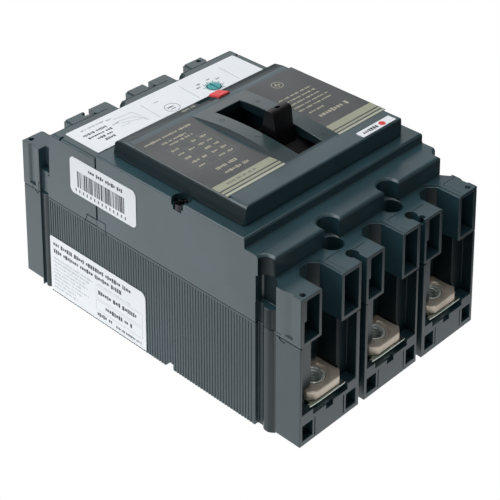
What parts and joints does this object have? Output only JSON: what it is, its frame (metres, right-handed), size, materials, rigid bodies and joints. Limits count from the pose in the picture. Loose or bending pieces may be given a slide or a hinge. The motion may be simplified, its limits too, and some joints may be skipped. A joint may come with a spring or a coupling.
{
  "type": "moulded case circuit breaker",
  "caption": "Moulded case circuit breaker with a toggle handle, trip unit, front cover, screw terminals at both ends and contacts on a crossbar.",
  "frame": {"origin": "centre of the rear mounting face of the case", "axes": "+Z out of the front towards the toggle, +Y to the line terminals, +X across the poles"},
  "size_m": [0.1053, 0.161, 0.097],
  "materials": {
    "case_grey": "moulded blue-grey thermoset, fine satin",
    "cover_grey": "moulded blue-grey thermoset, satin",
    "handle_black": "dark moulded toggle",
    "label_white": "smooth printed film",
    "tinned_copper": "tin plated copper",
    "zinc_steel": "zinc plated steel",
    "contact_copper": "bare copper",
    "button_red": "red push button",
    "dial_teal": "teal dial",
    "inner_black": "glass filled moulding",
    "arc_fibre": "vulcanised fibre and steel plates",
    "screw_black": "black screw"
  },
  "bodies": {
    "case": {"base_case": "case_grey", "main_cover": "cover_grey", "trip_unit_housing": "case_grey", "front_cover": "cover_grey", "trip_setting_label": "label_white", "badge_plate": "label_white", "barcode_sticker": "label_white", "rating_sticker": "label_white", "mechanism_plate_left": "zinc_steel", "mechanism_plate_right": "zinc_steel", "button_spring": "zinc_steel", "cover_screw_left": "screw_black", "cover_screw_right": "screw_black", "line_terminal_1": "tinned_copper", "line_nut_1": "zinc_steel", "line_nut_clip_1": "zinc_steel", "load_terminal_1": "tinned_copper", "load_nut_1": "zinc_steel", "load_nut_clip_1": "zinc_steel", "flexible_braid_1": "contact_copper", "arc_chute_1": "arc_fibre", "bimetal_1": "zinc_steel", "magnet_yoke_1": "zinc_steel", "line_terminal_2": "tinned_copper", "line_nut_2": "zinc_steel", "line_nut_clip_2": "zinc_steel", "load_terminal_2": "tinned_copper", "load_nut_2": "zinc_steel", "load_nut_clip_2": "zinc_steel", "flexible_braid_2": "contact_copper", "arc_chute_2": "arc_fibre", "bimetal_2": "zinc_steel", "magnet_yoke_2": "zinc_steel", "line_terminal_3": "tinned_copper", "line_nut_3": "zinc_steel", "line_nut_clip_3": "zinc_steel", "load_terminal_3": "tinned_copper", "load_nut_3": "zinc_steel", "load_nut_clip_3": "zinc_steel", "flexible_braid_3": "contact_copper", "arc_chute_3": "arc_fibre", "bimetal_3": "zinc_steel", "magnet_yoke_3": "zinc_steel"},
    "handle": {"toggle_handle": "handle_black", "handle_fork": "zinc_steel", "main_spring_left": "zinc_steel", "main_spring_right": "zinc_steel"},
    "contacts": {"contact_crossbar": "inner_black", "moving_contact_1": "contact_copper", "moving_contact_2": "contact_copper", "moving_contact_3": "contact_copper", "drive_link": "zinc_steel"},
    "trip_button": {"trip_button": "button_red"},
    "trip_bar": {"trip_bar": "inner_black"},
    "latch": {"latch_lever": "zinc_steel"},
    "cradle": {"cradle": "zinc_steel"},
    "dial": {"adjustment_dial": "dial_teal"},
    "armature_1": {"armature_1": "zinc_steel"},
    "armature_2": {"armature_2": "zinc_steel"},
    "armature_3": {"armature_3": "zinc_steel"}
  },
  "joints": [
    {"name": "toggle_hinge", "type": "hinge", "parent": "case", "child": "handle", "pos_m": [-0.0018, 0.017, 0.05], "axis": [1, 0, 0], "range_deg": [-20, 30], "deforming": ["main_spring_left", "main_spring_right"]},
    {"name": "contact_hinge", "type": "hinge", "parent": "case", "child": "contacts", "pos_m": [0, 0.008, 0.032], "axis": [1, 0, 0], "range_deg": [-10, 15], "deforming": ["flexible_braid_1", "flexible_braid_2", "flexible_braid_3"]},
    {"name": "trip_button_push", "type": "slide", "parent": "case", "child": "trip_button", "axis": [0, 0, -1], "range_m": [0, 0.0025], "deforming": ["button_spring"]},
    {"name": "trip_bar_hinge", "type": "hinge", "parent": "case", "child": "trip_bar", "pos_m": [0, -0.045, 0.06], "axis": [1, 0, 0], "range_deg": [-7, 0]},
    {"name": "latch_hinge", "type": "hinge", "parent": "case", "child": "latch", "pos_m": [-0.0018, -0.014, 0.07], "axis": [1, 0, 0], "range_deg": [-7, 0]},
    {"name": "cradle_hinge", "type": "hinge", "parent": "case", "child": "cradle", "pos_m": [-0.0018, -0.004, 0.056], "axis": [1, 0, 0], "range_deg": [-15, 0]},
    {"name": "dial_turn", "type": "hinge", "parent": "case", "child": "dial", "pos_m": [-0.0226, -0.0406, 0.076], "axis": [0, 0, 1], "range_deg": [-45, 45]},
    {"name": "armature_1_hinge", "type": "hinge", "parent": "case", "child": "armature_1", "pos_m": [0.0356, -0.0423, 0.0267], "axis": [1, 0, 0], "range_deg": [0, 2.5]},
    {"name": "armature_2_hinge", "type": "hinge", "parent": "case", "child": "armature_2", "pos_m": [0, -0.0423, 0.0267], "axis": [1, 0, 0], "range_deg": [0, 2.5]},
    {"name": "armature_3_hinge", "type": "hinge", "parent": "case", "child": "armature_3", "pos_m": [-0.0356, -0.0423, 0.0267], "axis": [1, 0, 0], "range_deg": [0, 2.5]}
  ],
  "couplings": [
    {"joint": "contact_hinge", "follows": "toggle_hinge", "ratio": 0.5},
    {"joint": "trip_bar_hinge", "follows": "trip_button_push", "rad_per_m": -46.077},
    {"joint": "latch_hinge", "follows": "trip_button_push", "rad_per_m": -46.077}
  ]
}
